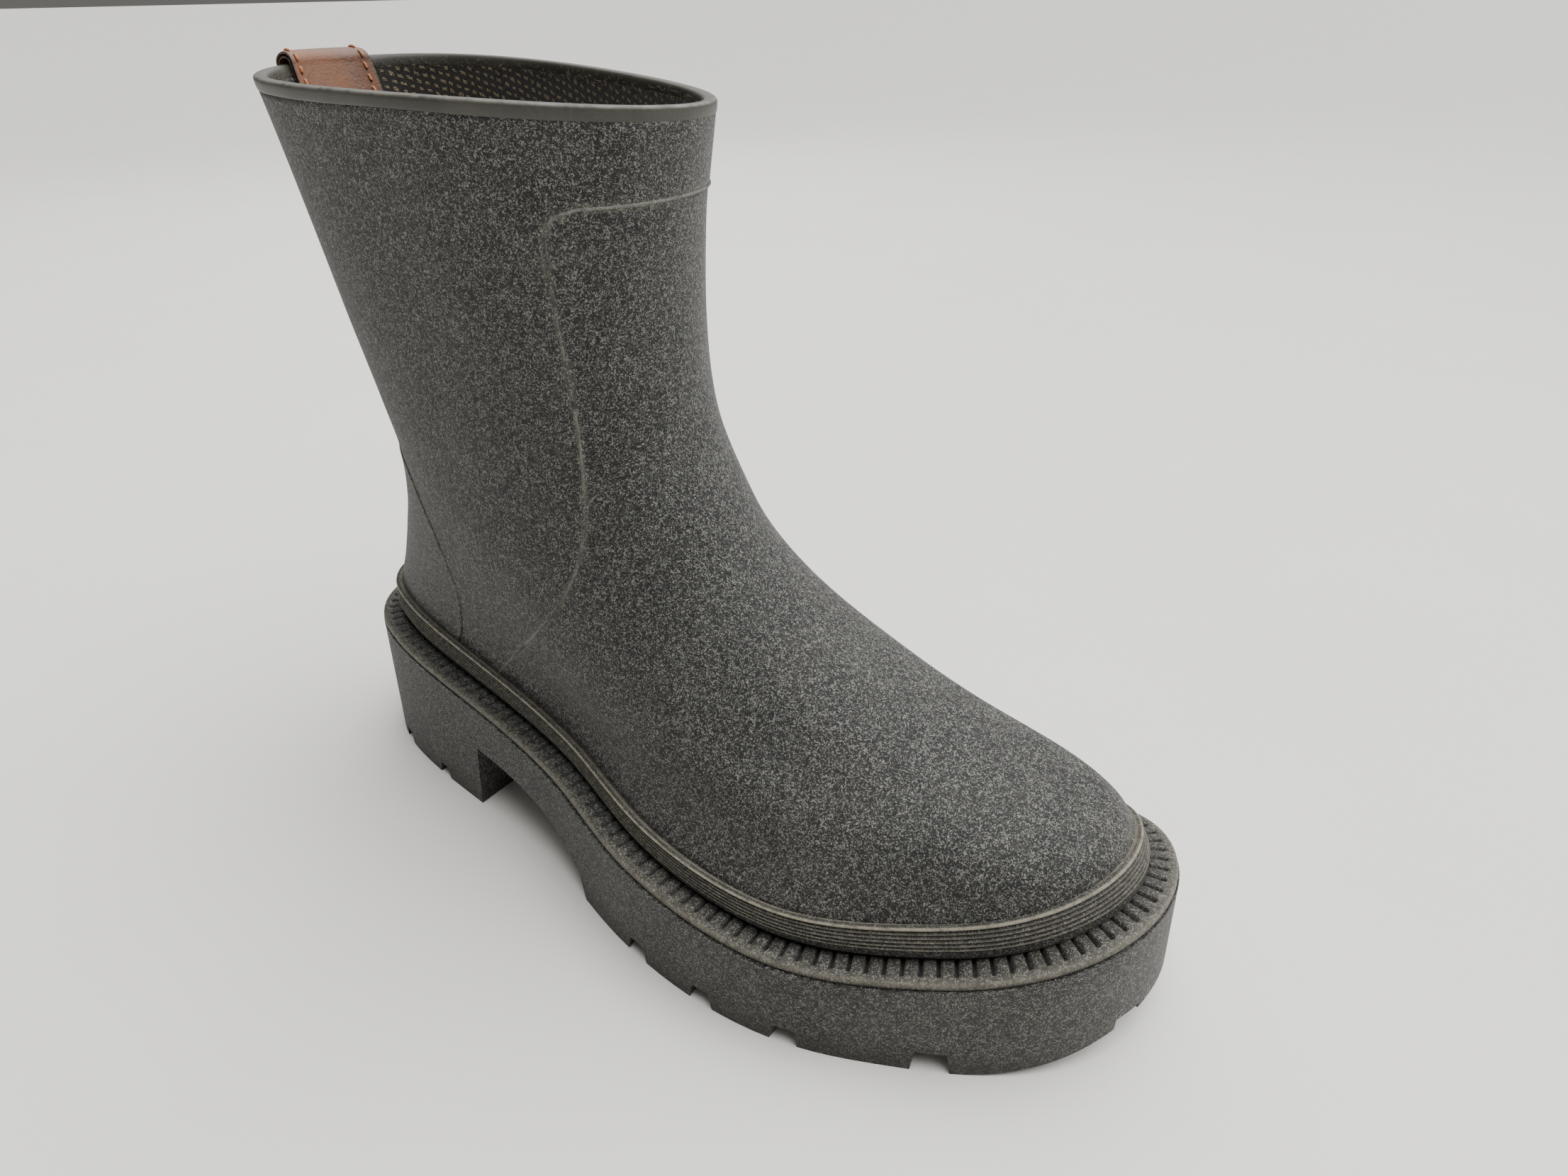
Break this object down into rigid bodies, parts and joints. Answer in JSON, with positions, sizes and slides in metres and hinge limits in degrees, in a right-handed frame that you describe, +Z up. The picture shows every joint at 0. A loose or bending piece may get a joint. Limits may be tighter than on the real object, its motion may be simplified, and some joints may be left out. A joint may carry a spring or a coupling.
{
  "type": "deck boot",
  "caption": "Ankle-height slip-on rubber deck boot for the right foot: thick lug sole with heel block, serrated welt, ribbed foxing, knit lining, lifting footbed and a leather pull loop.",
  "frame": {"origin": "middle of the boot's outer box, on the ground it stands on", "axes": "+Z up, +X towards the toe, +Y towards the inner side of the foot, so the outer side faces -Y"},
  "size_m": [0.3058, 0.1158, 0.2375],
  "materials": {
    "sole_rubber": "moulded dark grey rubber with a light speckle, matte",
    "welt_rubber": "smooth dark grey rubber, matte",
    "foxing_rubber": "ribbed dark grey rubber, scuffed edges",
    "upper_rubber": "dark grey rubber covered in fine light flecks, matte",
    "counter_rubber": "dark grey rubber, finer flecks",
    "band_rubber": "smooth grey-green rubber",
    "lining_knit": "black twill knit with olive flecks, brushed",
    "loop_leather": "tan vegetable leather, burnished edges",
    "loop_thread": "orange-tan waxed thread",
    "footbed_foam": "black open-cell foam",
    "footbed_cloth": "dark grey cloth",
    "cork_filler": "pressed cork granulate",
    "fibre_board": "pressed fibre board",
    "stiffener_fibre": "off-white thermoplastic fibre sheet",
    "shank_steel": "spring steel strip",
    "heel_core_plastic": "grey cellular plastic"
  },
  "bodies": {
    "boot": {"outsole": "sole_rubber", "midsole_filler": "cork_filler", "shank": "shank_steel", "heel_core": "heel_core_plastic", "top_band": "band_rubber", "instep_panel": "upper_rubber", "leg_panel": "upper_rubber", "heel_counter": "counter_rubber", "serrated_welt": "welt_rubber", "foxing_band": "foxing_rubber", "insole_board": "fibre_board", "toe_puff": "stiffener_fibre", "counter_stiffener": "stiffener_fibre", "lining": "lining_knit", "footbed_front": "footbed_foam", "footbed_cover_front": "footbed_cloth", "pull_loop": "loop_leather", "pull_loop_backing": "loop_leather", "loop_edge_stitching": "loop_thread", "loop_anchor_stitching": "loop_thread"},
    "footbed_heel": {"footbed_rear": "footbed_foam", "footbed_cover_rear": "footbed_cloth"}
  },
  "joints": [
    {"name": "footbed_lift", "type": "hinge", "parent": "boot", "child": "footbed_heel", "pos_m": [0.01682, 0.00735, 0.0398], "axis": [0, 1, 0], "range_deg": [0, 30]}
  ]
}
